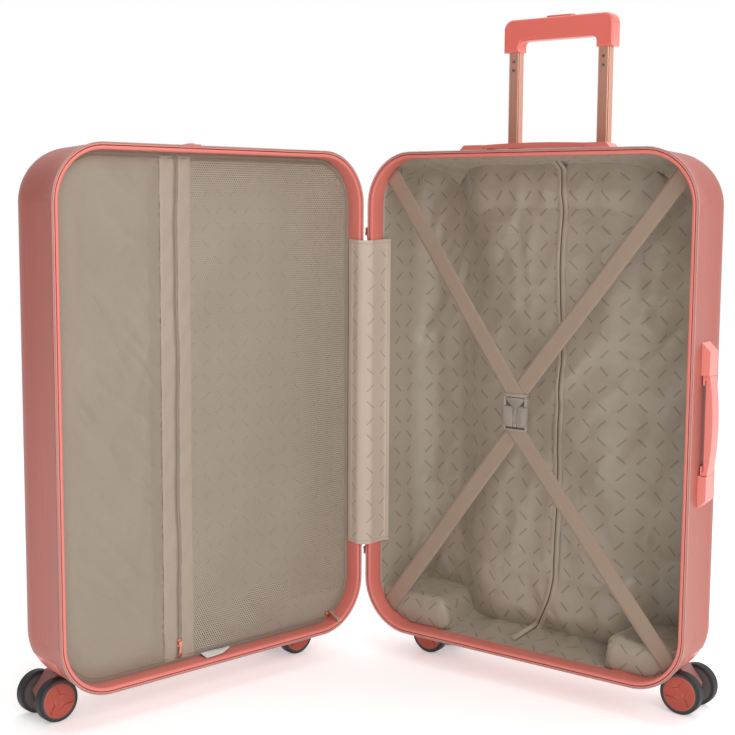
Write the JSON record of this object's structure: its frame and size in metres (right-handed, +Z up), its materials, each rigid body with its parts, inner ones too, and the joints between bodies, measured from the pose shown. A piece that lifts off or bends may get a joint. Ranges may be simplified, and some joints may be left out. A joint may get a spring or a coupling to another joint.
{
  "type": "hard shell suitcase",
  "caption": "Hard-shell suitcase standing open like a book, with telescopic trolley handle, carry handles, cross straps, zipped divider and twin-wheel casters.",
  "frame": {"origin": "on the floor, under the middle of the opened case", "axes": "+Z up; the main half opens towards -Y and its hinge side is its -X side; the lid stands at 98 degrees to it"},
  "size_m": [0.7223, 0.6402, 0.9285],
  "materials": {
    "shell": "fine brushed satin",
    "coral_trim": "semi-gloss moulded",
    "button_plastic": "semi-gloss",
    "zip_coil": "woven tape and coil",
    "lining_cloth": "satin polyester",
    "divider_cloth": "plain polyester",
    "mesh_cloth": "knitted mesh",
    "zip_tape": "woven tape",
    "zip_metal": "rose gold plated",
    "label_cloth": "plain woven",
    "webbing": "ribbed webbing",
    "buckle_plastic": "moulded",
    "rose_aluminium": "anodised, brushed",
    "steel": "plain",
    "black_plastic": "moulded",
    "lock_plastic": "satin",
    "dial_plastic": "moulded",
    "tyre_rubber": "matte",
    "hub_plastic": "satin"
  },
  "bodies": {
    "main_half": {"main_shell": "shell", "main_rim_frame": "coral_trim", "main_zip_coil": "zip_coil", "main_lining": "lining_cloth", "main_wheel_housings": "coral_trim", "hinge_flap": "lining_cloth", "rim_zip_sliders": "zip_metal", "trolley_guide_tubes": "rose_aluminium", "trolley_bezel": "coral_trim", "trolley_base": "black_plastic", "top_handle_feet": "coral_trim", "side_handle_feet": "coral_trim", "upper_straps": "webbing", "lower_straps": "webbing", "buckle_plug": "buckle_plastic", "buckle_socket": "buckle_plastic"},
    "lid": {"lid_shell": "shell", "lid_rim_frame": "coral_trim", "lid_zip_coil": "zip_coil", "lid_lining": "lining_cloth", "lid_wheel_housings": "coral_trim", "divider_zip": "zip_tape", "divider_panel": "divider_cloth", "divider_mesh": "mesh_cloth", "pocket_zip": "zip_tape", "divider_zip_slider": "zip_metal", "care_label": "label_cloth", "lock_body": "lock_plastic"},
    "trolley_middle": {"trolley_middle_tubes": "rose_aluminium"},
    "trolley_inner": {"trolley_inner_tubes": "rose_aluminium", "trolley_grip": "coral_trim", "trolley_rivets": "steel"},
    "trolley_release": {"trolley_button": "button_plastic"},
    "top_handle": {"top_handle_grip": "coral_trim"},
    "side_handle": {"side_handle_grip": "coral_trim"},
    "pocket_slider": {"pocket_zip_slider": "zip_metal"},
    "dial_1": {"lock_dial_1": "dial_plastic"},
    "dial_2": {"lock_dial_2": "dial_plastic"},
    "dial_3": {"lock_dial_3": "dial_plastic"},
    "latch": {"lock_latch": "lock_plastic"},
    "main_hinge_side_caster": {"main_hinge_side_caster_fork": "coral_trim", "main_hinge_side_caster_stem": "steel"},
    "main_hinge_side_wheels": {"main_hinge_side_caster_axle": "steel", "main_hinge_side_caster_tyres": "tyre_rubber", "main_hinge_side_caster_hubs": "hub_plastic"},
    "main_free_side_caster": {"main_free_side_caster_fork": "coral_trim", "main_free_side_caster_stem": "steel"},
    "main_free_side_wheels": {"main_free_side_caster_axle": "steel", "main_free_side_caster_tyres": "tyre_rubber", "main_free_side_caster_hubs": "hub_plastic"},
    "lid_hinge_side_caster": {"lid_hinge_side_caster_fork": "coral_trim", "lid_hinge_side_caster_stem": "steel"},
    "lid_hinge_side_wheels": {"lid_hinge_side_caster_axle": "steel", "lid_hinge_side_caster_tyres": "tyre_rubber", "lid_hinge_side_caster_hubs": "hub_plastic"},
    "lid_free_side_caster": {"lid_free_side_caster_fork": "coral_trim", "lid_free_side_caster_stem": "steel"},
    "lid_free_side_wheels": {"lid_free_side_caster_axle": "steel", "lid_free_side_caster_tyres": "tyre_rubber", "lid_free_side_caster_hubs": "hub_plastic"}
  },
  "joints": [
    {"name": "lid_hinge", "type": "hinge", "parent": "main_half", "child": "lid", "pos_m": [-0.169, 0.19282, 0], "axis": [0, 0, 1], "range_deg": [-81.9, 98.1], "deforming": ["hinge_flap"]},
    {"name": "middle_slide", "type": "slide", "parent": "main_half", "child": "trolley_middle", "axis": [0, 0, 1], "range_m": [0, 0.21]},
    {"name": "inner_slide", "type": "slide", "parent": "trolley_middle", "child": "trolley_inner", "axis": [0, 0, 1], "range_m": [-0.18, 0]},
    {"name": "button_press", "type": "slide", "parent": "trolley_inner", "child": "trolley_release", "axis": [0, 0, -1], "range_m": [0, 0.002], "stiffness_N_per_m": 600},
    {"name": "top_handle_lift", "type": "slide", "parent": "main_half", "child": "top_handle", "axis": [0, 0.0523, 0.9986], "range_m": [0, 0.0038]},
    {"name": "side_handle_pull", "type": "slide", "parent": "main_half", "child": "side_handle", "axis": [0.9986, 0.0523, 0], "range_m": [0, 0.0038], "stiffness_N_per_m": 500},
    {"name": "pocket_zip_run", "type": "slide", "parent": "lid", "child": "pocket_slider", "axis": [0, 0, 1], "range_m": [0, 0.615]},
    {"name": "latch_slide", "type": "slide", "parent": "lid", "child": "latch", "axis": [-0.9887, 0.1407, -0.0523], "range_m": [0, 0.003], "stiffness_N_per_m": 150},
    {"name": "dial_1_turn", "type": "hinge", "parent": "lid", "child": "dial_1", "pos_m": [-0.25693, -0.09466, 0.74076], "axis": [0.9887, -0.1407, 0.0523], "continuous": true},
    {"name": "dial_2_turn", "type": "hinge", "parent": "lid", "child": "dial_2", "pos_m": [-0.25051, -0.09558, 0.7411], "axis": [0.9887, -0.1407, 0.0523], "continuous": true},
    {"name": "dial_3_turn", "type": "hinge", "parent": "lid", "child": "dial_3", "pos_m": [-0.24408, -0.09649, 0.74144], "axis": [0.9887, -0.1407, 0.0523], "continuous": true},
    {"name": "main_hinge_side_caster_swivel", "type": "hinge", "parent": "main_half", "child": "main_hinge_side_caster", "pos_m": [-0.1132, 0.28082, 0.0285], "axis": [0, 0, 1], "continuous": true},
    {"name": "main_hinge_side_wheels_spin", "type": "hinge", "parent": "main_hinge_side_caster", "child": "main_hinge_side_wheels", "pos_m": [-0.0912, 0.28082, 0.0285], "axis": [0, 1, 0], "continuous": true},
    {"name": "main_free_side_caster_swivel", "type": "hinge", "parent": "main_half", "child": "main_free_side_caster", "pos_m": [0.2958, 0.28082, 0.0285], "axis": [0, 0, 1], "continuous": true},
    {"name": "main_free_side_wheels_spin", "type": "hinge", "parent": "main_free_side_caster", "child": "main_free_side_wheels", "pos_m": [0.3178, 0.28082, 0.0285], "axis": [0, 1, 0], "continuous": true},
    {"name": "lid_hinge_side_caster_swivel", "type": "hinge", "parent": "lid", "child": "lid_hinge_side_caster", "pos_m": [-0.26398, 0.14997, 0.0285], "axis": [0, 0, 1], "continuous": true},
    {"name": "lid_hinge_side_wheels_spin", "type": "hinge", "parent": "lid_hinge_side_caster", "child": "lid_hinge_side_wheels", "pos_m": [-0.26708, 0.12819, 0.0285], "axis": [-0.99, 0.1409, 0], "continuous": true},
    {"name": "lid_free_side_caster_swivel", "type": "hinge", "parent": "lid", "child": "lid_free_side_caster", "pos_m": [-0.32161, -0.25495, 0.0285], "axis": [0, 0, 1], "continuous": true},
    {"name": "lid_free_side_wheels_spin", "type": "hinge", "parent": "lid_free_side_caster", "child": "lid_free_side_wheels", "pos_m": [-0.32471, -0.27673, 0.0285], "axis": [-0.99, 0.1409, 0], "continuous": true}
  ]
}
